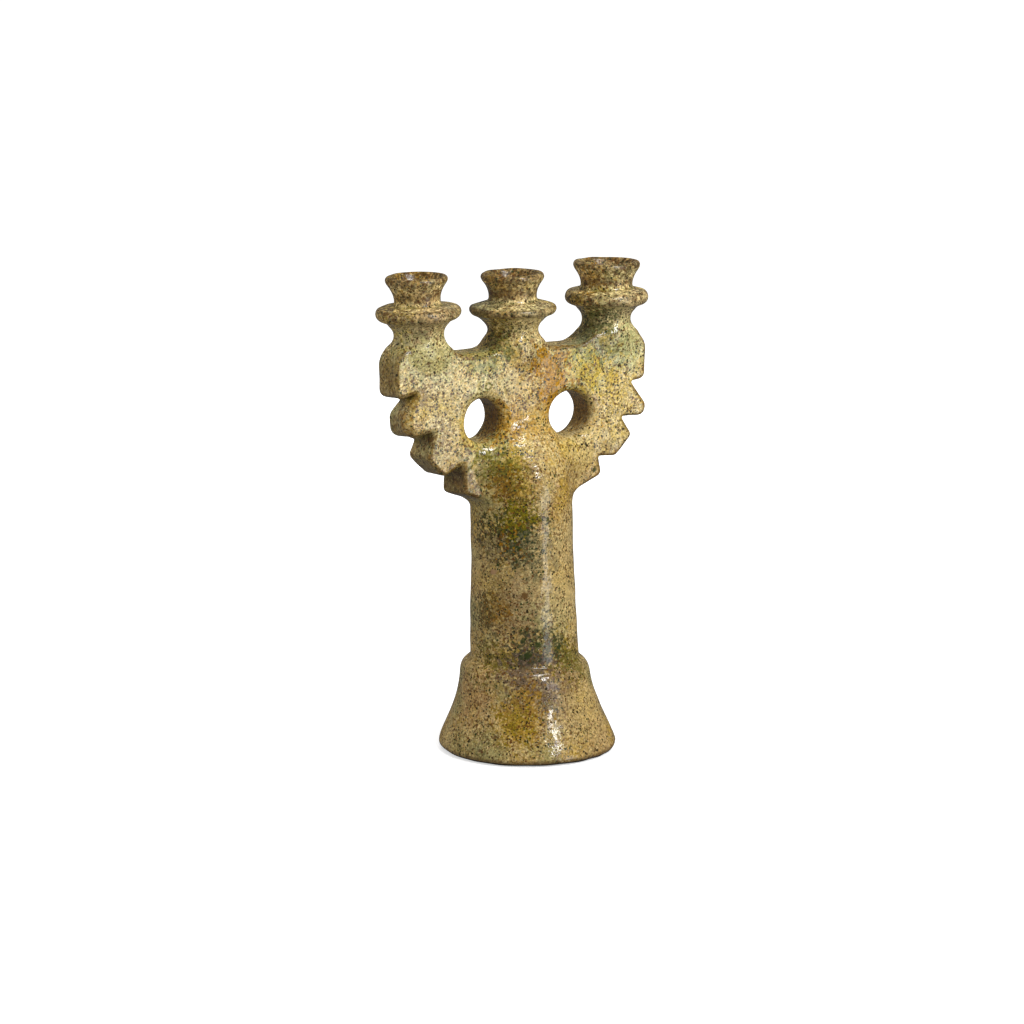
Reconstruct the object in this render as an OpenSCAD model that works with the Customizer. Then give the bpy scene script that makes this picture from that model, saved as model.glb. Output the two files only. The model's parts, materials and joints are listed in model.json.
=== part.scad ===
// Three-light candelabrum in the shape of a tree: a flared foot, a hollow trunk with a domed top,
// a thick slab crown with two round windows and leaf-cut sides, and three thrown candle sockets.
// Every piece was made on its own and luted to the next with slip before firing, so each is a
// separate solid that meets its neighbour face to face.
// Frame: +Z up, +X along the crown, -Y the front. Origin: centre of the foot ring, on the table.

/* [Foot] */
// Radius of the foot at its widest
foot_r = 70.5; // [60:0.5:80]
// Height of the seat that carries the trunk
seat_z = 71; // [66:0.5:90]
// Wall of the foot
foot_wall = 9; // [6:0.5:12]

/* [Trunk] */
// Radius of the trunk where it stands on the foot
trunk_r = 43.4; // [40:0.2:46]
// Radius of the trunk under its dome
trunk_top_r = 40.2; // [36:0.2:43]
// Wall of the trunk
trunk_wall = 9; // [6:0.5:12]
// Height at which the dome springs
spring_z = 212; // [206:1:216]
// Rise of the dome
dome_h = 45; // [40:1:46]
// Lean of the trunk towards -X, in degrees
trunk_lean = 1.5; // [0:0.1:2]

/* [Crown] */
// Thickness of the slab, front to back
slab_t = 34; // [28:1:40]
// Height of the flat tops that carry the necks
shelf_z = 331; // [330:0.5:333]
// Height of the windows' centres
window_z = 268; // [268:0.5:270]

/* [Candle sockets] */
// Radius of the candle bores
bore_r = 12.5; // [11:0.25:13]

/* [Hidden] */
$fn = 96;

cut = 300;            // size of the blocks that trim a piece to a plane
foot_edge_r = 4.5;    // rounding under the foot's edge
ring_w = 5;           // width of the flat ring that the foot stands on
shoulder_r = 6.5;     // rounding of the foot's shoulder
shoulder_x = 50.8;    // radius of the foot just below its shoulder
trunk_x = -2.7;       // where the trunk's axis meets the seat
seat_depth = 4;       // the trunk drops this far into the foot
windows = [[-46.8, 17, 5], [30.5, 19, 3]];    // centre along X, radius and rim rounding of each window

// One row per socket, left to right:
// [x, height of the pan's rim, rim radius, pan radius, waist radius, neck radius, pan edge radius, lean]
sockets = [
    [-97, 355.6, 24.6, 34.2, 18.3, 19.5, 5, 2.4],
    [-13.5, 352.4, 24.9, 34.6, 18.6, 19.8, 3.8, 0.8],
    [71.5, 355.6, 26.4, 33.8, 20.3, 19.3, 5.6, 0]
];
tenon_r = 10;         // plug under each neck that fills a hole in the slab
tenon_h = 8;          // and how deep it goes
register = 1.5;       // depth of the shallow seats between neck, pan and cup
seat_flare = 7;       // the neck's top is this much wider than its waist
neck_top = 6;         // the neck meets the pan this far below the pan's rim
neck_waist = 15;      // and is narrowest this far below it
pan_seat = 6;         // the pan's top, where the cup stands, above the pan's rim
lip_z = 25.4;         // the cup is widest this far above the pan's rim
lip_r = 3;            // rounding of the cup's lip
funnel_z = 16.5;      // the cup's funnel meets the bore this far above the pan's rim

// The crown's outline, clockwise from the left shelf: [x, z, corner radius]
outline = [
    [-116.5, shelf_z, 0.2], [-76, shelf_z, 0.2], [-68, 322.5, 12], [-43, 322.5, 12],
    [-34.5, shelf_z, 0.2], [7, shelf_z, 0.2], [15.5, 322.5, 12], [41, 322.5, 12],
    [50.5, shelf_z, 0.2], [91, shelf_z, 0.2],
    // right side: shoulder and three leaves
    [98, 321, 14], [97.5, 290, 6], [84.5, 289, 0.6],
    [98.5, 270, 7], [96.5, 260, 6], [76.5, 261.5, 0.6],
    [86, 246, 4], [70.5, 230.5, 5], [56, 231.5, 0.6],
    [58.5, 217, 5], [42, 210, 8], [20, 204, 2],
    // left side, from the bottom up
    [-30, 202, 2], [-52, 204, 8], [-67, 209.5, 4], [-66, 235, 0.6],
    [-83.5, 225, 4], [-98, 244, 4], [-92, 261, 0.6],
    [-114.5, 256, 8], [-117.5, 280, 9], [-106, 294.5, 0.6],
    [-123.5, 288.5, 7], [-123.5, 321, 14]
];

function unit(v) = v / norm(v);

// Points on a circular arc about c from angle a to angle b, in n steps
function arc(c, r, a, b, n) = [for (i = [0:n]) let (t = a + (b - a) * i / n) c + r * [cos(t), sin(t)]];

// Points on a cubic curve with four control points, in n steps
function curve(p, n) = [
    for (i = [0:n])
        let (t = i / n, s = 1 - t)
        s * s * s * p[0] + 3 * s * s * t * p[1] + 3 * s * t * t * p[2] + t * t * t * p[3]
];

// Points that round the corner c, between its neighbours p and q, to its radius c[2]
function rounded(p, c, q) =
    let (
        here = [c[0], c[1]],
        u = unit([p[0], p[1]] - here),
        v = unit([q[0], q[1]] - here),
        half = acos(u * v) / 2,
        side = sign(u[0] * v[1] - u[1] * v[0]),
        first = atan2(-u[0] * side, u[1] * side),
        turn = side * (180 - 2 * half)
    )
    arc(here + unit(u + v) * c[2] / sin(half), c[2], first, first - turn, ceil(abs(turn) * sqrt(c[2]) / 30) + 1);

function rounded_outline(k) = [
    for (i = [0:len(k) - 1]) each rounded(k[(i + len(k) - 1) % len(k)], k[i], k[(i + 1) % len(k)])
];

// Solid of revolution from points of [radius, height]
module turned(points) {
    rotate_extrude() polygon(points);
}

// Takes away everything below height z
module above(z) {
    difference() {
        children();
        translate([-cut / 2, -cut / 2, z - cut]) cube(cut);
    }
}

// The foot's flare, from under the shoulder down to its edge, as control points
foot_flare = [[shoulder_x, seat_z - shoulder_r], [54, 32], [67.5, 15], [foot_r, foot_edge_r]];
// The same for the hollow inside it, from the standing ring up to the collar
foot_hollow = [
    [foot_r - foot_edge_r - ring_w, 0], foot_flare[2] - [foot_wall, foot_wall],
    foot_flare[1] - [foot_wall, foot_wall], [trunk_r - trunk_wall, seat_z - foot_wall - seat_depth]
];

module foot() {
    color("darkkhaki") difference() {
        turned(concat(
            arc([foot_r - foot_edge_r, foot_edge_r], foot_edge_r, -90, 0, 8),
            curve([for (i = [3:-1:0]) foot_flare[i]], 24),
            arc([shoulder_x - shoulder_r, seat_z - shoulder_r], shoulder_r, 6, 90, 8),
            [[trunk_r - trunk_wall, seat_z]],
            curve([for (i = [3:-1:0]) foot_hollow[i]], 16)
        ));
        trunk_form();
    }
}

// Trunk profile above the seat, closed on the axis and smaller by inset all round
function trunk_profile(inset) =
    let (
        rise = spring_z - seat_z,
        low = trunk_r - inset,
        high = trunk_top_r - inset,
        below = 3 * seat_depth
    )
    concat(
        [[0, -below], [low, -below]],
        curve([[low, 0], [low - 1.4, rise * 0.4], [high, rise * 0.7], [high, rise]], 10),
        [for (i = [1:15]) [high * cos(i * 6), rise + (dome_h - inset) * sin(i * 6)]]
    );

module along_trunk() {
    translate([trunk_x, 0, seat_z]) rotate([0, -trunk_lean, 0]) children();
}

// Outer form of the trunk, which also shapes its seat in the foot and its saddle in the slab
module trunk_form() {
    above(seat_z - seat_depth) along_trunk() turned(trunk_profile(0));
}

module trunk() {
    color("olivedrab") difference() {
        trunk_form();
        along_trunk() turned(trunk_profile(trunk_wall));
    }
}

// Cutter for a window, its ends flared to round the rims
module window(w) {
    half = slab_t / 2;
    flare = arc([w[1] + w[2], half - w[2]], w[2], 180, 90, 8);
    translate([w[0], 0, window_z]) rotate([90, 0, 0]) turned(concat(
        [[0, -half - 1], [w[1] + w[2], -half - 1]],
        [for (i = [len(flare) - 1:-1:0]) [flare[i][0], -flare[i][1]]],
        flare,
        [[w[1] + w[2], half + 1], [0, half + 1]]
    ));
}

module crown_slab() {
    color("khaki") difference() {
        translate([0, slab_t / 2, 0]) rotate([90, 0, 0]) linear_extrude(slab_t) polygon(rounded_outline(outline));
        for (w = windows) window(w);
        for (s = sockets) tenon(s);
        trunk_form();
    }
}

// Every height in a socket is measured from its pan's rim, along its own axis
module at_socket(s) {
    translate([s[0], 0, s[1]]) rotate([0, -s[7], 0]) children();
}

module tenon(s) {
    translate([s[0], 0, shelf_z - tenon_h]) cylinder(r = tenon_r, h = tenon_h);
}

module neck(s) {
    low = shelf_z - s[1];
    r = s[5];
    color("olive") union() {
        above(shelf_z) at_socket(s) turned(concat(
            [[0, low - 2], [r + 1.6, low - 2]],
            curve([[r + 1.6, low], [r, low + 4], [r - 0.5, -neck_waist], [r + 1, 3 - neck_waist]], 8),
            curve([[r + 1, 3 - neck_waist], [r + 2.5, 6 - neck_waist], [r + 4, -neck_top - 1.5],
                [r + seat_flare, -neck_top]], 8),
            [[r, -neck_top], [r, register - neck_top], [0, register - neck_top]]
        ));
        tenon(s);
    }
}

module drip_pan(s) {
    plug = s[4] - 1;
    color("darkkhaki") at_socket(s) turned(concat(
        [[0, register - neck_top], [s[5], register - neck_top], [s[5], -neck_top], [s[5] + seat_flare, -neck_top]],
        arc([s[3] - s[6], 0], s[6], -65, 75, 14),
        [[s[4] + 1.2, pan_seat], [plug, pan_seat], [plug, pan_seat - register], [0, pan_seat - register]]
    ));
}

module candle_cup(s) {
    plug = s[4] - 1;
    color("goldenrod") at_socket(s) turned(concat(
        [[bore_r, pan_seat - register], [plug, pan_seat - register], [plug, pan_seat]],
        curve([[s[4] + 1, pan_seat], [s[4] - 0.5, 10], [s[4] - 0.5, 15], [s[2] - 1.4, lip_z - 3]], 14),
        arc([s[2] - lip_r, lip_z], lip_r, -35, 135, 12),
        [[bore_r, funnel_z]]
    ));
}

foot();
trunk();
crown_slab();
neck(sockets[0]);  // neck_left
neck(sockets[1]);  // neck_middle
neck(sockets[2]);  // neck_right
drip_pan(sockets[0]);  // drip_pan_left
drip_pan(sockets[1]);  // drip_pan_middle
drip_pan(sockets[2]);  // drip_pan_right
candle_cup(sockets[0]);  // candle_cup_left
candle_cup(sockets[1]);  // candle_cup_middle
candle_cup(sockets[2]);  // candle_cup_right
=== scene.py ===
"""Glazed stoneware tree candelabrum: the fired, glaze-softened surface over the CAD assembly.

The whole body is one signed-distance field in millimetres: turned and slab-cut forms joined by soft
fillets where the potter luted and smoothed them. The field becomes one mesh, and that mesh is cut into
one closed piece for each CAD node, so the glaze runs unbroken over the joints.
"""

import json
import math

import bpy
import numpy as np
import openvdb
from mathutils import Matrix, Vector

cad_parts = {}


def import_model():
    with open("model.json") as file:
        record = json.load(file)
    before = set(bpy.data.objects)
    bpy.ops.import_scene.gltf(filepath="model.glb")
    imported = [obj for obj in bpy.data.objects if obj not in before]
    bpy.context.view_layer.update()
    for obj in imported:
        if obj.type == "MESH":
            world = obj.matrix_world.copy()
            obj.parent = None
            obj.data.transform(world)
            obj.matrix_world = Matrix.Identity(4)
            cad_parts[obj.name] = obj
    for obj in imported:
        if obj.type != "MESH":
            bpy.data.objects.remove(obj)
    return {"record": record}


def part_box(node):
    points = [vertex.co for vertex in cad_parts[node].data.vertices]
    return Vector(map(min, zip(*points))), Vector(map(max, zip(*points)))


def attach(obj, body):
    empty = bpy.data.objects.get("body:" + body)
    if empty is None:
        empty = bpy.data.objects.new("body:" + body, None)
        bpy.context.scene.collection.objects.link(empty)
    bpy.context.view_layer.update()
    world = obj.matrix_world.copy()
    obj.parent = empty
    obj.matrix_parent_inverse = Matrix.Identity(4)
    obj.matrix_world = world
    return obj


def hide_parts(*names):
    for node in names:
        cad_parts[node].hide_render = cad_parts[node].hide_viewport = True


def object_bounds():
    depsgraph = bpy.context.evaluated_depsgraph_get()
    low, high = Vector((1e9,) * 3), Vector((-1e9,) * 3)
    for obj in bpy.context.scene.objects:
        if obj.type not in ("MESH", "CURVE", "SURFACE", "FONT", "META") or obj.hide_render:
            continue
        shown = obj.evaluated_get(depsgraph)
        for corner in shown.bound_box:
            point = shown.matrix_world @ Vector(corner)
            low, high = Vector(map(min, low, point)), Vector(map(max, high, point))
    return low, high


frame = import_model()
CAD_LOW, CAD_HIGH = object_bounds()

MM = 0.001  # metres in a millimetre
VOXEL = 1.0
MARGIN = 8  # free space round the body in the sampled volume
SIDES = ("left", "middle", "right")


# ---------------------------------------------------------------- sizes from the CAD, in millimetres


def cad_box(node):
    low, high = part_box(node)
    return np.array(low) / MM, np.array(high) / MM


def mount(name):
    """Position in millimetres and axis of one of the record's mounts."""
    found = next(m for m in frame["record"]["mounts"] if m["name"] == name)
    return np.array(found["pos_m"]) / MM, np.array(found["axis"])


FOOT_R = cad_box("foot")[1][0]
SEAT_Z = cad_box("foot")[1][2]
SLAB_LOW, SLAB_HIGH = cad_box("crown_slab")
HALF_SLAB = SLAB_HIGH[1]
SHELF_Z = SLAB_HIGH[2]
DOME_Z = cad_box("trunk")[1][2]

FOOT_EDGE_R = 4.5  # rounding under the foot's edge
RING_INNER_R = FOOT_R - 9.5  # inside of the flat ring that the foot stands on
SHOULDER_SHIFT = -2.9  # the foot's shoulder leans with the trunk

TRUNK_X = -2.7  # the trunk's axis where it leaves the foot
TRUNK_LEAN = math.radians(1.5)
TRUNK_BASE_R = 43.6
TRUNK_TOP_R = 40.2
TRUNK_WALL = 9
DOME_RISE = 47
HOLLOW_LOW_R, HOLLOW_LOW_Z = 34.4, 58  # where the foot's hollow narrows into the trunk's
HOLLOW_TOP_R = 31.2

# The trunk's side: radius and height above the seat, from inside the seat up to the slab's underside
TRUNK_PROFILE = (
    (TRUNK_BASE_R, -4), (43.2, 2), (42.6, 14), (41.7, 47), (40.7, 79),
    (TRUNK_TOP_R, 112), (TRUNK_TOP_R, SLAB_LOW[2] - SEAT_Z),
)

# One row per socket: pan radius, pan edge radius, neck radius, waist radius, rim radius, and how far the
# pan's top slopes down from the cup to its edge. Heights in a socket are measured from its pan's rim.
SOCKETS = {
    "left": (33.3, 4.9, 19.5, 18.2, 24.4, 1.0),
    "middle": (33.8, 3.3, 19.7, 18.5, 24.7, 4.0),
    "right": (32.9, 5.4, 19.2, 20.1, 26.2, 1.5),
}
LIP_Z = 25.4  # where the cup is widest
LIP_R = 3
BORE_R = 12.5
BORE_FLOOR = 4.5
BORE_MID = 10.5  # where the bore's mount is
BORE_CLEAR = 43.5  # the cutter that opens the bore ends here, well above the lip

# Windows: centre along X and height, half width, half height, how far the hole drifts towards the
# back in X and Z for each millimetre of depth, and how softly its rims round over
WINDOWS = ((-48.5, 268.6, 15.2, 17.2, -0.02, 0.0, 9), (30.3, 266.8, 18.0, 17.8, 0.02, -0.05, 8))

# The crown's outline on its front face and on its back face, clockwise from the left shelf.
# Each row is x, z and the corner's radius. Both faces share the top.
TOP = [
    (-117, 329, 4), (-77, 329, 6), (-67, 322, 16), (-40, 322, 14),
    (-32, 329, 5), (5, 329, 5), (11, 322, 14), (40, 322, 14),
    (52, 329, 5), (90, 330, 4),
]
FRONT = TOP + [
    (98.7, 320, 14), (97.6, 290.5, 6), (85, 289, 1),
    (98.9, 270, 7), (97, 260.5, 6), (76, 261.5, 1),
    (86.5, 246, 4), (71, 230, 5), (55.5, 231.5, 1),
    (58.5, 217, 5), (42, 210, 8), (20, 204, 6),
    (-30, 202, 6), (-52, 208, 8), (-66, 213, 4), (-66.5, 238, 1),
    (-84, 228.5, 4), (-98.5, 244, 4), (-91, 265, 1),
    (-116, 260.5, 9), (-118.5, 280, 9), (-105.5, 296.5, 1),
    (-125, 291, 6), (-125.5, 325, 14),
]
BACK = TOP + [
    (98, 320, 14), (97, 292, 6), (85, 289, 1),
    (98, 270, 7), (96, 261, 6), (77, 262, 1),
    (86, 246, 4), (70.5, 231, 5), (56, 232, 1),
    (58, 217, 5), (42, 208, 8), (20, 202, 6),
    (-30, 202, 6), (-50, 203, 8), (-69.3, 210, 4), (-68, 224, 1),
    (-84, 227, 5), (-99.6, 242, 5), (-94, 254.5, 1),
    (-115.5, 258.5, 9), (-116, 276, 8), (-105, 288, 1),
    (-124.5, 290, 7), (-124.5, 322, 17),
]
FRONT_ROUNDING = 2.8
BACK_ROUNDING = 5.5
# Places where the front edge is rounder: centre in x and z, half widths in x and z, and how much rounder
WORN_LEAF = (-116, 274, 16, 15, 5.5)
SOFT_VALLEY = (-40, 324, 24, 9, 4.5)
# How far the fillets at the luted joins reach
TRUNK_FILLET = (11, 26)  # trunk to slab: below the slab's underside, and round the dome
DOME_FILLET_Z = (216, 234)  # and the heights between which it grows
FOOT_FILLET = 2.5
NECK_FILLET = 9


# ---------------------------------------------------------------- outlines and their distance tables


def arc(cx, cy, radius, start, end, steps=12):
    angles = np.radians(np.linspace(start, end, steps))
    return np.stack([cx + radius * np.cos(angles), cy + radius * np.sin(angles)], -1)


def curve(*controls, steps=16):
    """Points on a cubic curve with four control points."""
    t = np.linspace(0, 1, steps)[:, None]
    a, b, c, d = (np.array(p, float) for p in controls)
    return (1 - t) ** 3 * a + 3 * (1 - t) ** 2 * t * b + 3 * (1 - t) * t**2 * c + t**3 * d


def rounded(corners):
    """A closed outline whose corners are arcs of their own radius."""
    points = []
    for i, (x, y, radius) in enumerate(corners):
        here = np.array([x, y])
        before = np.array(corners[i - 1][:2]) - here
        after = np.array(corners[(i + 1) % len(corners)][:2]) - here
        before, after = before / np.linalg.norm(before), after / np.linalg.norm(after)
        half = math.acos(float(before @ after)) / 2
        toward = (before + after) / np.linalg.norm(before + after)
        centre = here + toward * radius / math.sin(half)
        first = here + before * radius / math.tan(half) - centre
        last = here + after * radius / math.tan(half) - centre
        turn = math.atan2(first[0] * last[1] - first[1] * last[0], float(first @ last))
        start = math.atan2(first[1], first[0])
        for a in np.linspace(start, start + turn, 8):
            points.append(centre + radius * np.array([math.cos(a), math.sin(a)]))
    return np.array(points)


def turned(profile):
    """A closed outline from a profile of radius and height, mirrored so that the axis is no edge."""
    profile = np.vstack([np.atleast_2d(p) for p in profile])
    return np.vstack([profile, profile[::-1] * [-1, 1]])


class Table:
    """The signed distance to an outline, sampled on a fine grid and softened a little, negative inside."""

    STEP = 0.5

    def __init__(self, ring, low, high, soft=1):
        self.low = np.array(low, float)
        shape = np.ceil((np.array(high) - self.low) / self.STEP).astype(int) + 1
        u, v = np.meshgrid(*(self.low[i] + self.STEP * np.arange(shape[i]) for i in (0, 1)), indexing="ij")
        best = np.full(u.shape, 1e9)
        inside = np.zeros(u.shape, bool)
        for (ax, ay), (bx, by) in zip(ring, np.roll(ring, -1, axis=0)):
            ex, ey = bx - ax, by - ay
            if ex == 0 and ey == 0:
                continue
            wx, wy = u - ax, v - ay
            along = np.clip((wx * ex + wy * ey) / (ex * ex + ey * ey), 0, 1)
            best = np.minimum(best, (wx - along * ex) ** 2 + (wy - along * ey) ** 2)
            if ey != 0:
                inside ^= ((ay > v) != (by > v)) & (wx < ex * wy / ey)
        values = np.where(inside, -1, 1) * np.sqrt(best)
        for _ in range(soft):
            values = blurred(blurred(values).T).T
        self.values = values.astype(np.float32)

    def __call__(self, u, v):
        u = np.clip((u - self.low[0]) / self.STEP, 0, self.values.shape[0] - 1.001)
        v = np.clip((v - self.low[1]) / self.STEP, 0, self.values.shape[1] - 1.001)
        i, j = u.astype(int), v.astype(int)
        s, t = u - i, v - j
        flat, wide = self.values.ravel(), self.values.shape[1]
        at = i * wide + j
        low = flat[at] * (1 - t) + flat[at + 1] * t
        return low * (1 - s) + (flat[at + wide] * (1 - t) + flat[at + wide + 1] * t) * s


def blurred(values):
    padded = np.pad(values, ((1, 1), (0, 0)), mode="edge")
    return (padded[:-2] + 2 * padded[1:-1] + padded[2:]) / 4


# ---------------------------------------------------------------- the forms


def foot_outline():
    return turned([
        (0, 0), arc(FOOT_R - FOOT_EDGE_R, FOOT_EDGE_R, FOOT_EDGE_R, -90, 0),
        curve((FOOT_R, FOOT_EDGE_R), (68.4, 16), (56.8, 31), (52.2, 58), steps=24),
        curve((52.2, 58), (51.4, 66), (50, 72), (41, 73.5)), (0, 73.5),
    ])


def hollow_outline():
    """The inside of the foot and the trunk, one continuous space."""
    spring = DOME_Z - DOME_RISE
    crest = DOME_Z - TRUNK_WALL
    low = (HOLLOW_LOW_R, HOLLOW_LOW_Z)
    high = (HOLLOW_TOP_R, spring)
    return turned([
        (0, -9), (RING_INNER_R, -9), (RING_INNER_R, 0),
        curve((RING_INNER_R, 0), (58.5, 6), (45, 23), low),
        curve(low, (34, 100), (HOLLOW_TOP_R, 160), high),
        curve(high, (HOLLOW_TOP_R, DOME_Z - 25), (16, crest), (0, crest)),
    ])


def trunk_outline():
    top = DOME_Z - SEAT_Z
    spring = top - DOME_RISE
    turns = np.linspace(0.05, math.pi / 2, 24)
    dome = [(TRUNK_TOP_R * math.cos(a), spring + DOME_RISE * math.sin(a)) for a in turns]
    return turned([(0, -20), (TRUNK_BASE_R, -20), *TRUNK_PROFILE, (TRUNK_TOP_R, spring), *dome])


def socket_outline(side):
    """Neck, pan and cup in one profile, measured along the socket's axis from the pan's rim."""
    pan, edge, neck, waist, rim, slope = SOCKETS[side]
    base, stem, spread = (8, -44), (neck + 0.4, -22), (neck + 2.6, -10.5)
    pan_inner = pan - edge
    seat = edge + 1 + slope * 0.6
    cup_base = (waist + 0.3, seat + 1.6)
    return turned([
        (0, -44), base, curve(base, (18, -42), (neck + 1.5, -32), stem),
        curve(stem, (neck - 0.3, -17), (neck - 0.3, -14), spread),
        curve(spread, (neck + 5, -8), (pan_inner - 4, -edge - 1.5), (pan_inner + 2, -edge + 0.3)),
        arc(pan_inner, 0, edge, -60, 70 - 4 * slope),
        (waist + 1.2, seat), cup_base,
        curve(cup_base, (waist - 0.2, 13), (waist + 1.4, 18), (rim - 0.9, 22.8)),
        arc(rim - LIP_R, LIP_Z, LIP_R, -40, 140),
        curve((rim - 5.4, 27.2), (rim - 7.5, 24), (BORE_R + 1, 19), (BORE_R, 16)),
        (BORE_R, BORE_FLOOR), (0, BORE_FLOOR),
    ])


def smooth_min(a, b, reach):
    """The lower of two fields, with a fillet where they are closer than reach."""
    near = np.maximum(reach - np.abs(a - b), 0) / reach
    return np.minimum(a, b) - near * near * reach / 4


def waves(p, length, height, seed, count=9):
    """A gentle seeded unevenness: a few plane waves of about one length, in every direction."""
    rng = np.random.default_rng(seed)
    ways = rng.normal(size=(count, 3))
    near_length = rng.uniform(0.7, 1.4, (count, 1))
    ways *= 2 * math.pi / length * near_length / np.linalg.norm(ways, axis=1, keepdims=True)
    shift = rng.uniform(0, 2 * math.pi, count)
    total = np.zeros(len(p))
    for way, start in zip(ways, shift):
        total += np.sin(p @ way + start)
    return total * height * math.sqrt(2 / count)


foot_table = Table(foot_outline(), (0, -8), (96, 96))
hollow_table = Table(hollow_outline(), (0, -8), (80, DOME_Z + 6))
trunk_table = Table(trunk_outline(), (0, -30), (80, DOME_Z - SEAT_Z + 40), soft=2)
socket_tables = {side: Table(socket_outline(side), (0, -60), (60, 50)) for side in SIDES}
CROWN_LOW, CROWN_HIGH = (SLAB_LOW[0] - 24, SLAB_LOW[2] - 24), (SLAB_HIGH[0] + 24, SHELF_Z + 30)
front_table = Table(rounded(FRONT), CROWN_LOW, CROWN_HIGH, soft=3)
back_table = Table(rounded(BACK), CROWN_LOW, CROWN_HIGH, soft=3)


def along_axis(p, origin, axis):
    """Distance from an axis, and distance along it."""
    from_origin = p - origin
    along = from_origin @ axis
    return np.sqrt(np.maximum((from_origin**2).sum(1) - along * along, 0)), along


def foot_field(p):
    lean = SHOULDER_SHIFT * np.clip(p[:, 2] / SEAT_Z, 0, 1.2)
    return foot_table(np.hypot(p[:, 0] - lean, p[:, 1]), p[:, 2])


TRUNK_ORIGIN = np.array([TRUNK_X, 0, SEAT_Z])
TRUNK_AXIS = np.array([-math.sin(TRUNK_LEAN), 0, math.cos(TRUNK_LEAN)])


def trunk_field(p):
    return trunk_table(*along_axis(p, TRUNK_ORIGIN, TRUNK_AXIS))


def hollow_field(p):
    z = p[:, 2]
    in_trunk = TRUNK_X - (z - SEAT_Z) * math.tan(TRUNK_LEAN)
    in_foot = TRUNK_X * z / SEAT_Z
    return hollow_table(np.hypot(p[:, 0] - np.where(z > SEAT_Z, in_trunk, in_foot), p[:, 1]), z)


def rounder(p, place):
    """How much rounder the slab's front edge is near a place."""
    x, z, wide, high, amount = place
    return amount * np.exp(-(((p[:, 0] - x) / wide) ** 2) - ((p[:, 2] - z) / high) ** 2)


def crown_field(p):
    depth = np.clip((p[:, 1] + HALF_SLAB) / (2 * HALF_SLAB), 0, 1)
    outline = front_table(p[:, 0], p[:, 2]) * (1 - depth) + back_table(p[:, 0], p[:, 2]) * depth
    front = FRONT_ROUNDING + rounder(p, WORN_LEAF) + rounder(p, SOFT_VALLEY)
    round_off = np.where(p[:, 1] > 0, BACK_ROUNDING, front)
    side = outline + round_off
    face = np.abs(p[:, 1]) - HALF_SLAB + round_off
    corner = np.hypot(np.maximum(side, 0), np.maximum(face, 0))
    return np.minimum(np.maximum(side, face), 0) + corner - round_off


def window_field(p, window):
    x, z, half_width, half_height, drift_x, drift_z, _ = window
    across = (p[:, 0] - x - drift_x * p[:, 1]) / half_width
    up = (p[:, 2] - z - drift_z * p[:, 1]) / half_height
    return (np.hypot(across, up) - 1) * min(half_width, half_height)


def socket_frame(side):
    middle, axis = mount("candle_bore_" + side)
    return middle - axis * BORE_MID, axis


def socket_field(p, side):
    origin, axis = socket_frame(side)
    return socket_tables[side](*along_axis(p, origin, axis))


def body(p):
    """Signed distance to the whole fired body, in millimetres, for points in rows of x, y, z."""
    fillet = np.interp(p[:, 2], DOME_FILLET_Z, TRUNK_FILLET)
    value = smooth_min(trunk_field(p), crown_field(p), fillet)
    for window in WINDOWS:
        value = -smooth_min(-value, window_field(p, window), window[6])
    value = smooth_min(value, foot_field(p), FOOT_FILLET)
    for side in SIDES:
        value = smooth_min(value, socket_field(p, side), NECK_FILLET)
    value += waves(p, length=60, height=0.22, seed=3) + waves(p, length=17, height=0.1, seed=5)
    bore_middle, bore_half = (BORE_CLEAR + BORE_FLOOR) / 2, (BORE_CLEAR - BORE_FLOOR) / 2
    for side in SIDES:
        origin, axis = socket_frame(side)
        radius, along = along_axis(p, origin, axis)
        value = np.maximum(value, -np.maximum(radius - BORE_R, np.abs(along - bore_middle) - bore_half))
    return np.maximum(np.maximum(value, -hollow_field(p)), -p[:, 2])


# ---------------------------------------------------------------- from the field to one mesh


BLOCK = 4  # cells along each side of a block
HALF_DIAGONAL = 0.87  # of a cube, in its sides
BATCH = 4000  # blocks sampled at once


def skin(field, low, high, voxel):
    """Vertices in millimetres and faces of the field's zero surface. Only blocks near it are sampled."""
    blocks = np.ceil((high - low) / voxel / BLOCK).astype(int)
    centres = [low[i] + voxel * (BLOCK * (np.arange(blocks[i]) + 0.5) - 0.5) for i in range(3)]
    centres = np.stack(np.meshgrid(*centres, indexing="ij"), -1).reshape(-1, 3)
    rough = field(centres)
    width = 3 * voxel
    far = np.where(rough < 0, -width, width).astype(np.float32)
    grid = np.repeat(far, BLOCK**3).reshape(-1, BLOCK, BLOCK, BLOCK)
    near = np.flatnonzero(np.abs(rough) < voxel * BLOCK * HALF_DIAGONAL + 2 * width)
    steps = voxel * (np.arange(BLOCK) - (BLOCK - 1) / 2)
    inner = np.stack(np.meshgrid(steps, steps, steps, indexing="ij"), -1).reshape(-1, 3)
    for some in np.array_split(near, max(1, len(near) // BATCH)):
        points = (centres[some][:, None] + inner).reshape(-1, 3)
        grid[some] = np.clip(field(points), -width, width).reshape(-1, BLOCK, BLOCK, BLOCK)
    grid = grid.reshape(*blocks, BLOCK, BLOCK, BLOCK).transpose(0, 3, 1, 4, 2, 5).reshape(blocks * BLOCK)
    volume = openvdb.FloatGrid(width)
    volume.copyFromArray(np.ascontiguousarray(grid))
    points, triangles, quads = volume.convertToPolygons(isovalue=0.0, adaptivity=0.0)
    points = low + points * voxel
    for _ in range(2):
        slope = gradient(field, points, voxel / 2)
        step = field(points) / np.maximum((slope**2).sum(1), 0.25)
        points = points - slope * np.clip(step, -voxel / 2, voxel / 2)[:, None]
    return points, [*triangles.tolist(), *quads.tolist()]


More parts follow.
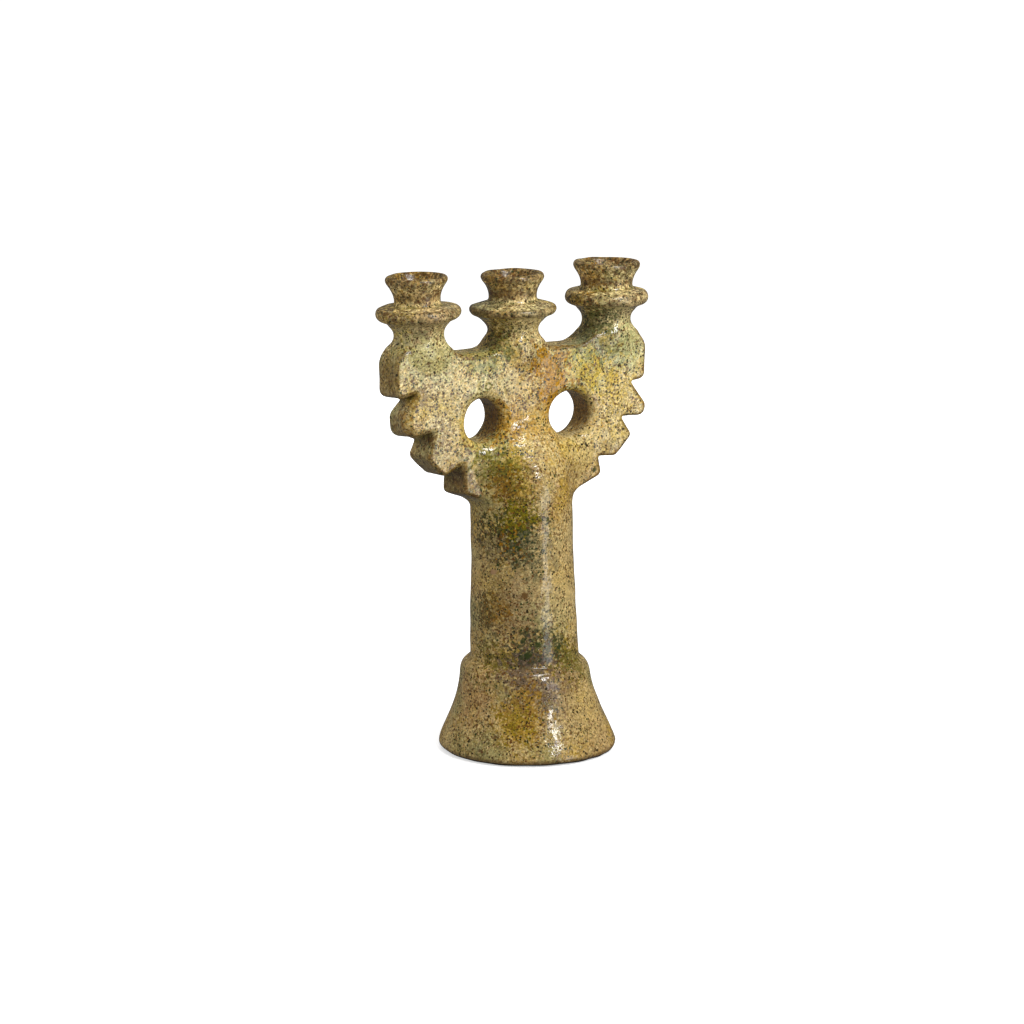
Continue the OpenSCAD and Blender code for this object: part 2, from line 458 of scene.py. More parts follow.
def gradient(field, points, reach):
    slope = np.empty_like(points)
    for axis in range(3):
        step = np.zeros(3)
        step[axis] = reach
        slope[:, axis] = (field(points + step) - field(points - step)) / (2 * reach)
    return slope


def mesh_object(name, points, faces):
    mesh = bpy.data.meshes.new(name)
    mesh.from_pydata((np.asarray(points) * MM).tolist(), [], faces)
    mesh.update()
    made = bpy.data.objects.new(name, mesh)
    bpy.context.scene.collection.objects.link(made)
    return made


# ---------------------------------------------------------------- one closed piece for each CAD node


def block_between(centre, axis, low, high, half=41, flat_base=None):
    """A block round an axis, from low to high along it, or from a level base."""
    side = np.array([axis[2], 0, -axis[0]])
    depth = np.array([0, 1, 0])
    corners = []
    for height, level in ((low, flat_base), (high, None)):
        for u, v in ((-1, -1), (1, -1), (1, 1), (-1, 1)):
            corner = centre + axis * height + (side * u + depth * v) * half
            if level is not None:
                corner[2] = level
            corners.append(corner)
    faces = [(3, 2, 1, 0), (4, 5, 6, 7), (0, 1, 5, 4), (1, 2, 6, 5), (2, 3, 7, 6), (3, 0, 4, 7)]
    return mesh_object("cutter", corners, faces)


def prism(outline, half):
    """A closed prism along Y over an outline of x and z."""
    count = len(outline)
    points = [(x, y, z) for y in (-half, half) for x, z in outline]
    faces = [tuple(range(count)), tuple(range(2 * count - 1, count - 1, -1))]
    faces += [(i, i + count, (i + 1) % count + count, (i + 1) % count) for i in range(count)]
    return mesh_object("cutter", points, faces)


def cut(target, cutter, operation, name):
    modifier = target.modifiers.new("cut", "BOOLEAN")
    modifier.operation = operation
    modifier.solver = "MANIFOLD"
    modifier.object = cutter
    graph = bpy.context.evaluated_depsgraph_get()
    mesh = bpy.data.meshes.new_from_object(target.evaluated_get(graph))
    target.modifiers.remove(modifier)
    mesh.name = name
    made = bpy.data.objects.new(name, mesh)
    bpy.context.scene.collection.objects.link(made)
    return made


def discard(*objects):
    for o in objects:
        mesh = o.data
        bpy.data.objects.remove(o)
        bpy.data.meshes.remove(mesh)


SEAM_Z = SEAT_Z + 1.8  # the seam between foot and trunk
ARCH_R = 42.5  # the seam between trunk and slab stands just outside the dome
ARCH_X = TRUNK_X - (DOME_Z - SEAT_Z - 30) * math.tan(TRUNK_LEAN)
CUP_SEAM = 1.6  # the seam under a cup, above the corner of its pan
PAN_SEAM = -6.5
PAST_RIM = 60  # clears every rim
NORMAL_REACH = 0.7  # how far to each side a slope is measured
ON_SURFACE = 0.3  # faces farther than this from the body's surface are hidden seams


def trunk_region():
    """The trunk up to the slab's underside, then an arch through the slab just outside the dome."""
    underside = SLAB_LOW[2] - 6
    arch = arc(0, 0, 1, 0, 180, steps=40) * [ARCH_R, DOME_RISE + 2] + [ARCH_X, DOME_Z - DOME_RISE]
    return prism([
        (-80, 0), (80, 0), (80, underside), (ARCH_X + ARCH_R, underside), *map(tuple, arch),
        (ARCH_X - ARCH_R, underside), (-80, underside),
    ], 100)


def regions():
    """What each piece takes from what the pieces before it left; the slab keeps the rest."""
    yield "foot", block_between(np.zeros(3), np.array([0, 0, 1.0]), -50, SEAM_Z, half=150)
    yield "trunk", trunk_region()
    for side in SIDES:
        origin, axis = socket_frame(side)
        _, edge, _, _, _, slope = SOCKETS[side]
        yield "candle_cup_" + side, block_between(origin, axis, edge + CUP_SEAM + slope * 0.6, PAST_RIM)
        yield "drip_pan_" + side, block_between(origin, axis, PAN_SEAM, PAST_RIM)
        yield "neck_" + side, block_between(origin, axis, 0, PAST_RIM, flat_base=SHELF_Z)


def make_pieces():
    low = np.array(CAD_LOW) / MM - MARGIN
    high = np.array(CAD_HIGH) / MM + MARGIN
    rest = mesh_object("whole", *skin(body, low, high, VOXEL))
    pieces = {}
    for name, region in regions():
        pieces[name] = cut(rest, region, "INTERSECT", name + "_glazed")
        left = cut(rest, region, "DIFFERENCE", "crown_slab_glazed")
        discard(rest, region)
        rest = left
    pieces["crown_slab"] = rest
    return pieces


def to_array(mesh, collection, name, width):
    values = np.empty(len(getattr(mesh, collection)) * width, np.float64)
    getattr(mesh, collection).foreach_get(name, values)
    return values.reshape(-1, width)


def unit_slope(points):
    """Unit slope of the body's field at each point."""
    slope = gradient(body, points, NORMAL_REACH)
    return slope / np.maximum(np.linalg.norm(slope, axis=1, keepdims=True), 1e-9)


def finish_surface(piece):
    """Normals from the field, flat ones on the hidden cut faces, and the measures the glaze reads."""
    mesh = piece.data
    points = to_array(mesh, "vertices", "co", 3) / MM
    slope = unit_slope(points)
    face_normal = to_array(mesh, "polygons", "normal", 3)
    face_centre = to_array(mesh, "polygons", "center", 3) / MM
    facing = (face_normal * unit_slope(face_centre)).sum(1)
    hidden = (np.abs(body(face_centre)) > ON_SURFACE) | (facing < 0.5)
    loop_vertex = np.empty(len(mesh.loops), np.int64)
    mesh.loops.foreach_get("vertex_index", loop_vertex)
    loop_count = np.empty(len(mesh.polygons), np.int64)
    mesh.polygons.foreach_get("loop_total", loop_count)
    loop_face = np.repeat(np.arange(len(mesh.polygons)), loop_count)
    normals = np.where(hidden[loop_face][:, None], face_normal[loop_face], slope[loop_vertex])
    mesh.shade_smooth()
    mesh.normals_split_custom_set(normals.tolist())
    for name, values in measures(points, slope).items():
        layer = mesh.attributes.new(name, "FLOAT", "POINT")
        layer.data.foreach_set("value", values.astype(np.float32))


def bend(points, reach):
    """How much the surface bends over a distance: above zero on an edge, below zero in a hollow."""
    around = -6 * body(points)
    for axis in range(3):
        step = np.zeros(3)
        step[axis] = reach
        around += body(points + step) + body(points - step)
    return around / reach**2


def measures(points, slope):
    """What the glaze reads at each vertex: edges, broad form, thin glaze, which inside the cups also
    carries painted shade, and bare clay.
    """
    z = points[:, 2]
    on_slab = np.clip((z - SLAB_LOW[2]) / 6, 0, 1) * np.clip((SHELF_Z - z) / 6, 0, 1)
    facing_side = 1 - np.abs(slope[:, 1])
    facing_up = np.clip(slope[:, 2], 0, 1)
    cut_side = facing_side * (1 - facing_up) * on_slab
    # the cups' insides: browned as thin glaze, which there also stands for painted shade
    cup_inside_thin_and_shaded = np.zeros(len(points))
    for side in SIDES:
        radius, along = along_axis(points, *socket_frame(side))
        rim = SOCKETS[side][4]
        inside_rim = np.clip((rim - 3.5 - radius) / 2, 0, 1)
        above_pan = np.clip((along - 9) / 3, 0, 1)
        cup_inside_thin_and_shaded = np.maximum(cup_inside_thin_and_shaded, inside_rim * above_pan)
    hollow = np.clip(1.5 + hollow_field(points) * -2, 0, 1)
    base = np.clip(1.5 - z, 0, 1)
    inside = np.clip(-0.5 - body(points), 0, 1)
    return {
        "edge": bend(points, 2.0),
        "form": bend(points, 6.0) * 2,
        "thin": np.maximum(cut_side, cup_inside_thin_and_shaded),
        "bare": np.maximum(np.maximum(hollow, base), inside),
    }


# ---------------------------------------------------------------- the glaze


def linear(c):
    """Linear value of a usual colour value from 0 to 255."""
    return c / 3294.6 if c <= 10 else ((c / 255 + 0.055) / 1.055) ** 2.4


def colour(red, green, blue):
    return (linear(red), linear(green), linear(blue), 1.0)


CREAM = colour(240, 219, 158)
BUFF = colour(204, 172, 98)
STRAW = colour(212, 180, 66)
SAGE = colour(176, 182, 124)
ROSE = colour(208, 172, 124)
UMBER = colour(98, 66, 24)
AMBER = colour(180, 128, 12)
OCHRE = colour(180, 142, 36)
OLIVE = colour(118, 112, 12)
LIME = colour(150, 140, 4)
MOSS = colour(36, 60, 16)
TEAL = colour(44, 68, 50)
MAUVE = colour(126, 110, 102)
CLAY = colour(170, 132, 96)
INK = colour(40, 32, 9)
DARK_GREEN = colour(42, 56, 18)
RUST = colour(94, 58, 18)
LOWER_TONE = colour(216, 206, 192)  # the whole glaze is this much duller below the crown
WHITE = (1, 1, 1, 1)
GLAZE_IOR = 1.6

# Sizes in the glaze
GRAIN = 1.5
TEARING = 1.4  # the size of the shifts that make small things ragged
GROG = 1.7
TILE = 3.2  # the mosaic that the placed runs break up into
CLOUD = 11
DRIFT = 14
BROAD = 42
# Specks: cell size, how many cells hold one, largest radius, and a shift that sets each layer apart
PALE_SPECKS = (2.9, 0.6, 0.9, 31)
PITS = (6.5, 0.3, 0.8, 51)
# Heights between which the glaze changes
LOWER_Z = (262, 215)
CROWN_Z = (205, 250)
CUPS_Z = (330, 364)
# the foot's bare ring, darkened as painted contact shadow
FOOT_RING_AND_SHADOW_Z = (3.2, 1.8)

# Where the glaze ran to another colour, and a few rows of painted shade and painted light noted below:
# colour, x, y, z and reach in millimetres, and strength
PATCHES = (
    # front of the crown
    (BUFF, -10, -17, 288, 30, 0.55), (SAGE, 84, -14, 318, 16, 0.5), (OLIVE, -123, -4, 318, 13, 0.5),
    (AMBER, 12, -17, 307, 19, 0.95), (AMBER, 14, -17, 286, 15, 0.9), (STRAW, 44, -18, 300, 16, 0.7),
    (AMBER, -24, -17, 268, 14, 0.7), (AMBER, 3, -17, 258, 14, 0.5), (STRAW, 60, -17, 296, 17, 0.6),
    (AMBER, 19, -17, 322, 9, 0.7), (MAUVE, -4, -19, 322, 10, 0.45), (SAGE, -98, -20, 330, 24, 0.5),
    (MOSS, -34, -14, 328, 15, 0.75), (OLIVE, -50, -8, 322, 14, 0.7), (MOSS, 50, -8, 330, 20, 0.65),
    (SAGE, 38, -16, 322, 18, 0.4), (MOSS, -73, -17, 290, 9, 0.4), (SAGE, -45, -18, 240, 16, 0.6),
    (SAGE, -48, -18, 316, 16, 0.45), (AMBER, -110, -12, 272, 10, 0.5), (AMBER, -96, -10, 252, 8, 0.5),
    (AMBER, 54, -17, 224, 10, 0.6), (CREAM, 50, -18, 240, 22, 0.5), (MAUVE, -113, -17, 346, 14, 0.5),
    (AMBER, -34, 2, 262, 15, 0.7), (AMBER, 48, 2, 262, 15, 0.6),
    # sockets
    (AMBER, -98, -20, 365, 12, 0.9), (AMBER, 50, -10, 372, 13, 0.6), (AMBER, -16, -20, 366, 9, 0.4),
    (UMBER, -98, 0, 380, 30, 0.3), (UMBER, -14, 0, 378, 32, 0.4), (UMBER, 72, 0, 382, 28, 0.2),
    (CREAM, -97, -28, 356, 24, 0.6), (CREAM, -10, -30, 352, 24, 0.5), (CREAM, 74, -28, 356, 22, 0.5),
    (MOSS, -30, -14, 344, 9, 0.5), (MOSS, 54, -12, 342, 12, 0.5), (UMBER, -102, -18, 344, 9, 0.4),
    # the three umber rows at y 6 darken the cups' insides: partly the glaze's brown there, partly painted
    # shade behind the lips
    (ROSE, -97, -32, 355, 17, 0.5), (ROSE, 80, -30, 356, 15, 0.45), (UMBER, -97, 6, 377, 14, 0.6),
    (UMBER, -14, 6, 374, 14, 0.6), (UMBER, 72, 6, 377, 14, 0.6), (AMBER, -90, 15, 378, 8, 0.8),
    (AMBER, 74, 16, 379, 8, 0.8), (AMBER, -16, 15, 375, 7, 0.5),
    # front of the trunk, from the dome down
    (MAUVE, -26, -34, 124, 26, 0.45), (SAGE, 0, -42, 112, 20, 0.5), (SAGE, -46, -6, 196, 16, 0.4),
    (OLIVE, -38, -25, 228, 18, 0.85), (AMBER, -36, -26, 216, 12, 0.6), (TEAL, -27, -34, 206, 11, 0.75),
    (LIME, -27, -34, 190, 17, 0.95), (MOSS, -20, -37, 182, 12, 0.85), (TEAL, -19, -38, 164, 17, 0.9),
    (TEAL, -9, -41, 158, 13, 0.75), (MOSS, -40, -19, 184, 12, 0.8), (UMBER, -41, -18, 172, 9, 0.5),
    (MOSS, -42, -17, 165, 16, 0.7), (MAUVE, -40, -19, 168, 9, 0.5), (AMBER, -34, -28, 176, 8, 0.8),
    (AMBER, -42, -18, 118, 11, 0.75), (MOSS, -43, -15, 128, 10, 0.6), (TEAL, -46, -8, 110, 13, 0.6),
    # the cream at x 14 and x 20 on the trunk's right front is partly the glaze's colour and partly painted
    # light on the side the lamps fall on
    (CREAM, 14, -36, 150, 34, 0.55), (CREAM, 20, -33, 105, 26, 0.5), (CREAM, -46, -6, 150, 22, 0.4),
    (MOSS, -12, -42, 90, 16, 0.7), (MOSS, 6, -41, 86, 14, 0.7), (TEAL, -26, -38, 86, 13, 0.75),
    (STRAW, 20, -37, 88, 12, 0.6), (OLIVE, -42, -18, 76, 14, 0.8), (MOSS, -18, -41, 76, 13, 0.8),
    (OLIVE, 18, -38, 75, 16, 0.75),
    # front of the foot
    (MAUVE, -26, -45, 67, 20, 0.8), (MAUVE, -2, -54, 48, 22, 0.5), (OCHRE, -34, -48, 38, 20, 0.8),
    (LIME, -38, -46, 30, 14, 0.55), (CREAM, 25, -55, 30, 26, 0.5), (ROSE, -57, -10, 48, 18, 0.6),
    (ROSE, 30, -52, 10, 20, 0.4), (MOSS, -54, -30, 12, 12, 0.4), (MOSS, 20, -60, 20, 10, 0.3),
    # painted shade: umber in the inner corners of the leaf cuts
    (UMBER, -104, -8, 293, 12, 0.7), (UMBER, -91, -8, 260, 12, 0.7), (UMBER, -66, -8, 235, 12, 0.6),
    (UMBER, 84, -6, 289, 8, 0.5), (UMBER, 76, -6, 261, 8, 0.5), (UMBER, 56, -6, 231, 8, 0.5),
    # back, where nothing is known
    (OLIVE, 4, 40, 170, 24, 0.7), (MOSS, -60, 18, 260, 22, 0.5), (AMBER, 46, 18, 300, 20, 0.6),
    (TEAL, 30, 28, 120, 18, 0.6), (AMBER, 10, 60, 30, 30, 0.5), (MOSS, -20, 50, 74, 16, 0.5),
)
# Single marks in the glaze: colour, x, y, z and radius in millimetres
MARKS = (
    (INK, -31, -32, 131, 1.6), (UMBER, -24, -37, 132, 2.6), (CLAY, -41, -18, 149, 2.6),
    (DARK_GREEN, 51, -17, 221, 2.2), (DARK_GREEN, -14, -41, 92, 2.6), (DARK_GREEN, -25, -37, 96, 2.4),
    (DARK_GREEN, -22, -39, 84, 3.2), (INK, -36, -46, 52, 1.8), (DARK_GREEN, 4, -41, 88, 2.6),
    (CREAM, -45, -17, 296, 1.6),
)
# A pale ridge left by a tool, from end to end
RIDGE = ((-17, -34, 233), (6, -38, 216))
# A popped bubble: centre and radius of its ring
BUBBLE = ((-45, -17, 296), 2.6)


class Shader:
    """Short ways to add nodes to a material's tree or the world's. Lengths are in millimetres."""

    def __init__(self, owner):
        owner.use_nodes = True
        self.tree = owner.node_tree

    def node(self, kind, inputs, output=0, **settings):
        made = self.tree.nodes.new("ShaderNode" + kind)
        for name, value in settings.items():
            setattr(made, name, value)
        for key, value in inputs.items():
            self.feed(made.inputs[key], value)
        return made.outputs[output]

    def feed(self, socket, value):
        if isinstance(value, bpy.types.NodeSocket):
            self.tree.links.new(value, socket)
        else:
            socket.default_value = value

    def math(self, operation, a, b=0.0, clamp=False):
        return self.node("Math", {0: a, 1: b}, operation=operation, use_clamp=clamp)

    def plus(self, a, b):
        return self.math("ADD", a, b)

    def times(self, a, b):
        return self.math("MULTIPLY", a, b)

    def vector(self, operation, a, b=(0, 0, 0), output=0):
        return self.node("VectorMath", {0: a, 1: b}, output, operation=operation)

    def scaled(self, a, factor):
        return self.node("VectorMath", {0: a, "Scale": factor}, operation="SCALE")

    def moved(self, points, colour_noise, reach):
        """Points shifted at random by a colour noise, each way by up to half of reach."""
        return self.vector("ADD", points, self.scaled(self.centred(colour_noise), reach))

    def centred(self, colour_noise):
        return self.vector("SUBTRACT", colour_noise, (0.5, 0.5, 0.5))

    def distance(self, points, place):
        return self.vector("DISTANCE", points, place, 1)

    def height(self, points):
        return self.node("SeparateXYZ", {0: points}, 2)

    def fade(self, value, start, end, low=0.0, high=1.0):
        """Smoothly from low at start to high at end."""
        values = {"Value": value, "From Min": start, "From Max": end, "To Min": low, "To Max": high}
        return self.node("MapRange", values, interpolation_type="SMOOTHSTEP")

    def mix(self, factor, a, b, blend="MIX"):
        return self.node("Mix", {0: factor, 6: a, 7: b}, 2, data_type="RGBA", blend_type=blend)

    def noise(self, points, size, detail=2.0, output=0):
        return self.node("TexNoise", {"Vector": points, "Scale": 1 / size, "Detail": detail}, output)

    def colour_noise(self, points, size, detail):
        return self.noise(points, size, detail, 1)

    def cells(self, points, size):
        """Cells of about one size, each of its own random colour."""
        return self.node("TexVoronoi", {"Vector": points, "Scale": 1 / size}, 1)

    def attribute(self, name):
        return self.node("Attribute", {}, 2, attribute_name=name)

    def near_line(self, points, start, end):
        """Distance from the straight line between two points."""
        along = tuple(b - a for a, b in zip(start, end))
        square = sum(u * u for u in along)
        offset = self.vector("SUBTRACT", points, start)
        reached = self.vector("DOT_PRODUCT", offset, tuple(v / square for v in along), 1)
        reached = self.math("ADD", reached, 0.0, clamp=True)
        nearest = self.node("CombineXYZ", {k: self.times(reached, v) for k, v in enumerate(along)})
        return self.distance(offset, nearest)

    def specks(self, points, size, share, radius, shift):
        """At most one speck in each cell: how much of one is here, and its own random number.

        Takes the cells' size, the share of them that hold a speck, the specks' largest radius, and a
        shift that sets one layer of specks apart from another.
        """
        moved = self.vector("ADD", points, (shift, shift * 2.3, shift * 3.7))
        distance = self.node("TexVoronoi", {"Vector": moved, "Scale": 1 / size})
        picks = self.node("SeparateColor", {0: distance.node.outputs["Color"]}).node.outputs
        reach = self.fade(picks[0], 0.0, 1.0, 0.5 * radius / size, 1.3 * radius / size)
        here = self.fade(self.math("DIVIDE", distance, reach), 1.0, 0.78)
        chosen = self.math("LESS_THAN", picks[1], share)
        return self.times(here, chosen), picks[2]


class Glaze(Shader):
    """Speckled buff glaze over grogged clay: thin and brown on edges, pooled and olive in hollows, with
    painted shade in the deepest creases.

    Each step takes the colour so far and returns the next one.
    """

    def __init__(self, owner):
        super().__init__(owner)
        self.points = self.scaled(self.node("TexCoord", {}, 3), 1 / MM)
        self.edge = self.attribute("edge")
        self.form = self.attribute("form")
        self.thin = self.attribute("thin")
        self.bare = self.attribute("bare")
        self.grain = self.noise(self.points, GRAIN)
        self.tearing = self.colour_noise(self.points, TEARING, 2.0)
        self.ragged = self.moved(self.points, self.tearing, 1.5)
        self.grog = self.cells(self.ragged, GROG)
        drifting = self.moved(self.points, self.colour_noise(self.points, DRIFT, 3.0), 24)
        self.wandering = self.moved(drifting, self.grog, 14)
        self.scattered = self.moved(self.wandering, self.cells(self.ragged, TILE), 18)
        self.height_up = self.height(self.wandering)

    def runs(self):
        """Clouds of cream, buff, straw, sage and rose, and over them the runs that have a place, some of
        them painted shade and painted light.
        """
        broad = self.noise(self.points, BROAD)
        base = self.mix(self.fade(self.noise(self.wandering, CLOUD), 0.4, 0.6), CREAM, BUFF)
        base = self.mix(self.fade(broad, 0.48, 0.66, 0.0, 0.6), base, STRAW)
        base = self.mix(self.fade(broad, 0.5, 0.34, 0.0, 0.55), base, SAGE)
        base = self.mix(self.fade(self.noise(self.wandering, 8, 1.0), 0.58, 0.7, 0.0, 0.7), base, ROSE)
        for tone, x, y, z, reach, strength in PATCHES:
            away = self.distance(self.scattered, (x, y, z))
            base = self.mix(self.fade(away, reach * 1.4, reach * 0.75, 0.0, strength), base, tone)
        return base

    def worn_pooled_and_shaded(self, base):
        """Browner where the glaze is thin, more olive where it pooled, darkest in the creases, where
        pooled glaze and painted shade are laid on together.
        """
        thinness = self.fade(self.plus(self.edge, self.times(self.grain, 0.16)), 0.14, 0.4)
        # inside the cups this browning from thin also stands for painted shade
        self.worn = self.math("MAXIMUM", self.times(thinness, 0.8), self.times(self.thin, 0.8))
        base = self.mix(self.worn, base, self.mix(0.78, base, UMBER))
        hollow = self.plus(self.form, self.times(self.grain, -0.1))
        pooled = self.fade(hollow, -0.12, -0.5)
        base = self.mix(self.times(pooled, 0.7), base, self.mix(0.6, base, OLIVE))
        # painted shade: the deepest creases are darkened towards olive and umber over the pooled glaze
        crease_pool_and_painted_shade = self.fade(hollow, -0.36, -0.66, 0.0, 0.65)
        base = self.mix(crease_pool_and_painted_shade, base, self.mix(0.5, OLIVE, UMBER))
        return self.mix(self.fade(self.height_up, *LOWER_Z), base, LOWER_TONE, "MULTIPLY")

    def mottled(self, base):
        """Lighter and darker from grain to grain, and in larger blotches on the pans and cups."""
        glint = self.node("SeparateColor", {0: self.grog}, 1)
        grains = self.fade(self.grain, 0.3, 0.7, 0.66, 1.31)
        mottle = self.times(grains, self.fade(glint, 0.0, 1.0, 0.84, 1.16))
        self.on_cups = self.fade(self.height_up, *CUPS_Z, 0.0, 0.42)
        blotch = self.fade(self.noise(self.ragged, 4), 0.36, 0.64, -1.2, 1.2)
        mottle = self.times(mottle, self.plus(1.0, self.times(blotch, self.on_cups)))
        return self.vector("MULTIPLY", base, self.node("CombineXYZ", {0: mottle, 1: mottle, 2: mottle}))

    def specked(self, shade):
        """Pale specks, rusty smears, green crumbs and dark specks, thicker in some places."""
        pale, _ = self.specks(self.ragged, *PALE_SPECKS)
        shade = self.mix(self.times(pale, 0.3), shade, CREAM)
        crowd = self.plus(self.noise(self.points, 13), self.times(self.on_cups, 0.4))
        smear = self.plus(self.noise(self.points, 2.3, 3.0), self.times(crowd, 0.25))
        self.dark = self.fade(smear, 0.7, 0.78)
        shade = self.mix(self.times(self.dark, 0.8), shade, RUST)
        elsewhere = self.vector("ADD", self.points, (40, 0, 0))
        crumbs = self.fade(self.noise(elsewhere, 1.1, 1.0), 0.62, 0.7)
        shade = self.mix(self.times(crumbs, 0.5), shade, DARK_GREEN)
        everywhere = self.plus(self.fade(crowd, 0.36, 0.6, 0.32, 1.0), self.on_cups)
        on_crown = self.fade(self.height_up, *CROWN_Z, 0.0, 0.25)
        layers = ((2.1, everywhere, 0.7, 3), (4.3, everywhere, 0.95, 17), (2.9, on_crown, 0.8, 43))
        for layer in layers:
            amount, pick = self.specks(self.ragged, *layer)
            tone = self.mix(self.math("GREATER_THAN", pick, 0.75), DARK_GREEN, RUST)
            tone = self.mix(self.math("GREATER_THAN", pick, 0.45), INK, tone)
            shade = self.mix(self.times(amount, 0.94), shade, tone)
            self.dark = self.math("MAXIMUM", self.dark, amount)
        return shade

    def marked(self, shade):
        """The single marks, the tool's ridge and the popped bubble."""
        torn = self.moved(self.ragged, self.tearing, 3)
        for tone, x, y, z, radius in MARKS:
            away = self.distance(torn, (x, y, z))
            shade = self.mix(self.fade(away, radius * 1.15, radius * 0.7, 0.0, 0.85), shade, tone)
        self.ridge = self.fade(self.near_line(self.ragged, *RIDGE), 1.8, 0.4)
        shade = self.mix(self.times(self.ridge, 0.6), shade, ROSE)
        centre, radius = BUBBLE
        from_ring = self.math("SUBTRACT", self.distance(self.ragged, centre), radius)
        self.ring = self.fade(self.math("ABSOLUTE", from_ring), 0.9, 0.3)
        return self.mix(self.times(self.ring, 0.7), shade, OLIVE)

    def over_clay(self, shade):
        """Bare clay inside, underneath and in the hidden seams, with a near-black band of painted contact
        shadow where the foot stands.
        """
        clay = self.mix(self.fade(self.grain, 0.3, 0.7), CLAY, self.mix(0.5, CLAY, UMBER))
        foot_ring_and_contact_shadow = self.fade(self.height(self.points), *FOOT_RING_AND_SHADOW_Z)
        self.bare = self.math("MAXIMUM", self.bare, foot_ring_and_contact_shadow)
        # the bare foot ring is darkened to ink here as painted contact shadow
        return self.mix(self.bare, shade, self.mix(foot_ring_and_contact_shadow, clay, INK))

    def roughness(self):
        """Glossy in patches, duller on worn edges and dark specks, dull on bare clay."""
        gloss = self.fade(self.noise(self.points, 9), 0.35, 0.7, 0.07, 0.2)
        gloss = self.plus(gloss, self.times(self.worn, 0.16))
        gloss = self.plus(gloss, self.times(self.dark, 0.08))
        return self.math("MAXIMUM", gloss, self.times(self.bare, 0.85))

    def relief(self):
        """Slight waves and grain, pits, sunken specks, the raised ridge and the bubble's sunken ring."""
        pits, _ = self.specks(self.ragged, *PITS)
        height = self.plus(self.noise(self.points, 7), self.times(self.grain, 0.16))
        height = self.math("SUBTRACT", height, self.times(pits, 0.7))
        height = self.math("SUBTRACT", height, self.times(self.dark, 0.06))
        height = self.plus(height, self.times(self.math("SUBTRACT", self.ridge, self.ring), 0.8))
        return self.node("Bump", {"Height": height, "Distance": 0.6 * MM, "Strength": 1.0})


def glaze():
    """The one material of all twelve pieces."""
    material = bpy.data.materials.new("speckled_glaze")
    made = Glaze(material)
    shade = made.worn_pooled_and_shaded(made.runs())
    shade = made.marked(made.specked(made.mottled(shade)))
    surface = made.tree.nodes["Principled BSDF"].inputs
    made.feed(surface["Base Color"], made.over_clay(shade))
    made.feed(surface["Roughness"], made.roughness())
    surface["IOR"].default_value = GLAZE_IOR
    made.feed(surface["Normal"], made.relief())
    return material


# ---------------------------------------------------------------- the stage

# The rest is in metres and degrees, except the camera's focal length and the floor's height, which are
# in millimetres. Azimuths go round from the front towards +X.
FLOOR_HALF = 40
FLOOR_Z = -0.3  # just under the clay, so that the two never coincide
EYE = Vector((-1.400, -2.425, 0.780))
AIM = Vector((-0.0143, 0, 0.1907))
FOCAL_LENGTH = 127.6
LIGHT_DISTANCE = 1.8
MIDDLE = (0, 0, 0.22)  # what the lights look at

# Lights: name, azimuth, elevation, width, height and watts. The soft lights don't show in the glaze.
SOFT_LIGHTS = (
    ("key", 40, 34, 0.7, 0.7, 14),
    ("fill", -90, 20, 0.7, 1.2, 11),
    ("back", 160, 30, 1.0, 1.0, 14),
)
GLINTS = (
    ("strip", 24, -10, 0.5, 0.9, 3.5),
    ("high_glint", 4, 48, 0.25, 0.25, 4.5),
    ("low_glint", 12, 20, 0.2, 0.35, 5),
    ("rim_glint", 20, 55, 0.5, 0.3, 6),
)


def floor():
    """A plain pale floor that fills the picture: bright to the camera, grey to the clay above it."""
    material = bpy.data.materials.new("pale_floor")
    s = Shader(material)
    here = s.node("TexCoord", {}, 3)
    surface = s.tree.nodes["Principled BSDF"]
    tint = s.mix(s.noise(here, 0.8, 1.0), colour(244, 244, 243), colour(248, 248, 248))
    s.feed(surface.inputs["Base Color"], tint)
    surface.inputs["Roughness"].default_value = 0.9
    surface.inputs["Emission Color"].default_value = WHITE
    from_middle = s.vector("LENGTH", here, output=1)
    s.feed(surface.inputs["Emission Strength"], s.fade(from_middle, 0.3, 2.0, 0.5, 0.84))
    unseen = s.node("BsdfDiffuse", {"Color": colour(140, 140, 138)})
    both = s.node("MixShader", {0: s.node("LightPath", {}), 1: unseen, 2: surface.outputs[0]})
    s.feed(s.tree.nodes["Material Output"].inputs["Surface"], both)
    half = FLOOR_HALF / MM
    corners = [(x, y, FLOOR_Z) for x, y in ((-half, -half), (half, -half), (half, half), (-half, half))]
    plane = mesh_object("floor", corners, [(0, 1, 2, 3)])
    plane.data.materials.append(material)
    plane.visible_glossy = False
    plane.visible_shadow = False


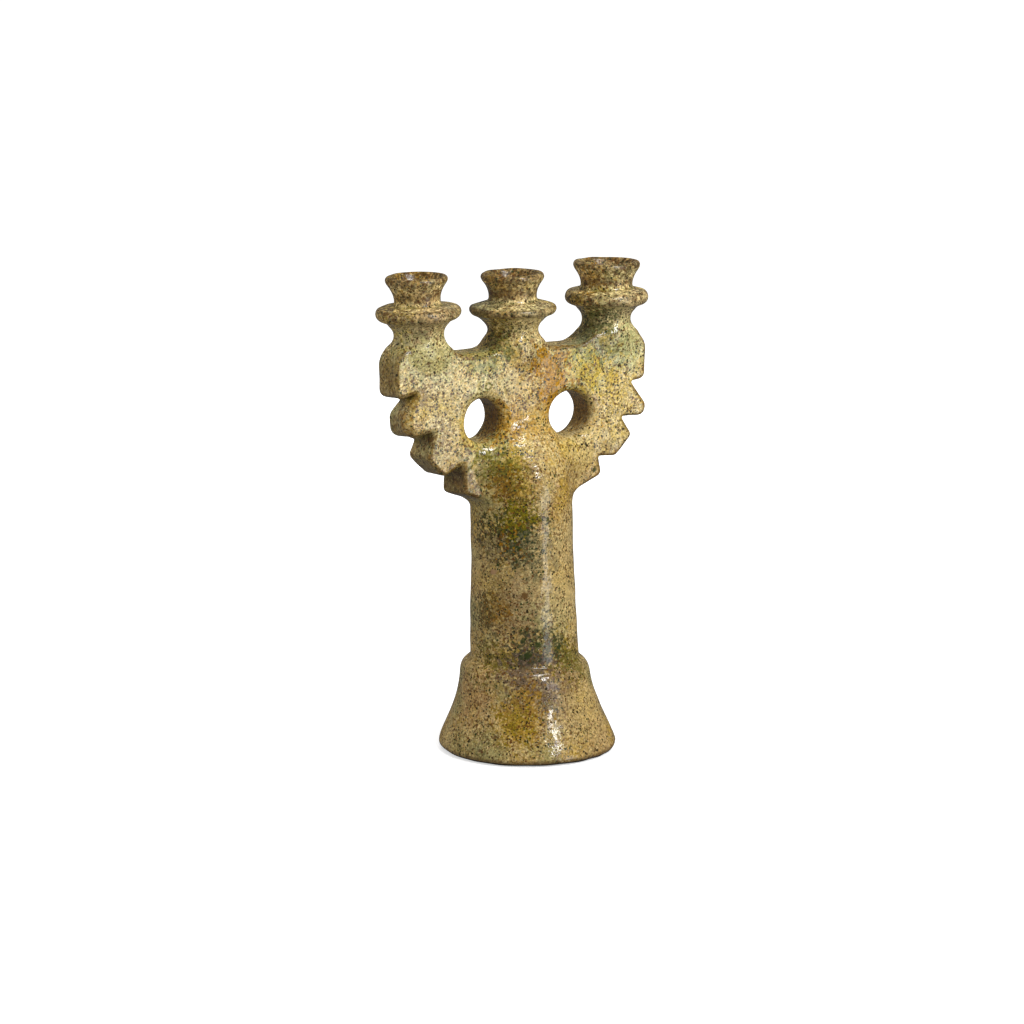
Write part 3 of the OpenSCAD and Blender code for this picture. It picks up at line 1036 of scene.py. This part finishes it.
def placed(made, azimuth, elevation, distance, aim):
    """Stands something at an azimuth and elevation from the point that it looks at."""
    around, up = math.radians(azimuth), math.radians(elevation)
    away = Vector((math.sin(around) * math.cos(up), -math.cos(around) * math.cos(up), math.sin(up)))
    made.location = Vector(aim) + away * distance
    made.rotation_euler = away.to_track_quat("Z", "Y").to_euler()
    bpy.context.scene.collection.objects.link(made)
    return made


def softbox(name, azimuth, elevation, width, height, watts):
    light = bpy.data.lights.new(name, "AREA")
    light.shape = "RECTANGLE"
    light.size = width
    light.size_y = height
    light.energy = watts
    return placed(bpy.data.objects.new(name, light), azimuth, elevation, LIGHT_DISTANCE, MIDDLE)


def camera():
    """The camera at the photograph's angle: 30 degrees round to the left, 12 degrees up."""
    lens = bpy.data.cameras.new("camera")
    lens.lens = FOCAL_LENGTH
    lens.clip_end = 200
    away = EYE - AIM
    azimuth = math.degrees(math.atan2(away.x, -away.y))
    elevation = math.degrees(math.asin(away.z / away.length))
    made = bpy.data.objects.new("camera", lens)
    bpy.context.scene.camera = placed(made, azimuth, elevation, away.length, AIM)


def world():
    """White to the camera, but dim in the glaze, so that only the glints' lights show there."""
    made = bpy.data.worlds.new("studio")
    s = Shader(made)
    sky = s.tree.nodes["Background"]
    s.feed(sky.inputs["Color"], WHITE)
    s.feed(sky.inputs["Strength"], 0.27)
    seen = s.node("Background", {"Color": WHITE, "Strength": 1.0})
    reflected = s.node("Background", {"Color": WHITE, "Strength": 0.1})
    ray = s.node("LightPath", {}).node.outputs
    dimmed = s.node("MixShader", {0: ray["Is Glossy Ray"], 1: sky.outputs[0], 2: reflected})
    both = s.node("MixShader", {0: ray["Is Camera Ray"], 1: dimmed, 2: seen})
    s.feed(s.tree.nodes["World Output"].inputs["Surface"], both)
    bpy.context.scene.world = made


def studio():
    for light in SOFT_LIGHTS:
        softbox(*light).visible_glossy = False
    for light in GLINTS:
        softbox(*light)
    world()
    bpy.context.scene.view_settings.view_transform = "Standard"


camera()
studio()
floor()
finish = glaze()
for node_name, piece in make_pieces().items():
    finish_surface(piece)
    piece.data.materials.clear()
    piece.data.materials.append(finish)
    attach(piece, "root")
    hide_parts(node_name)
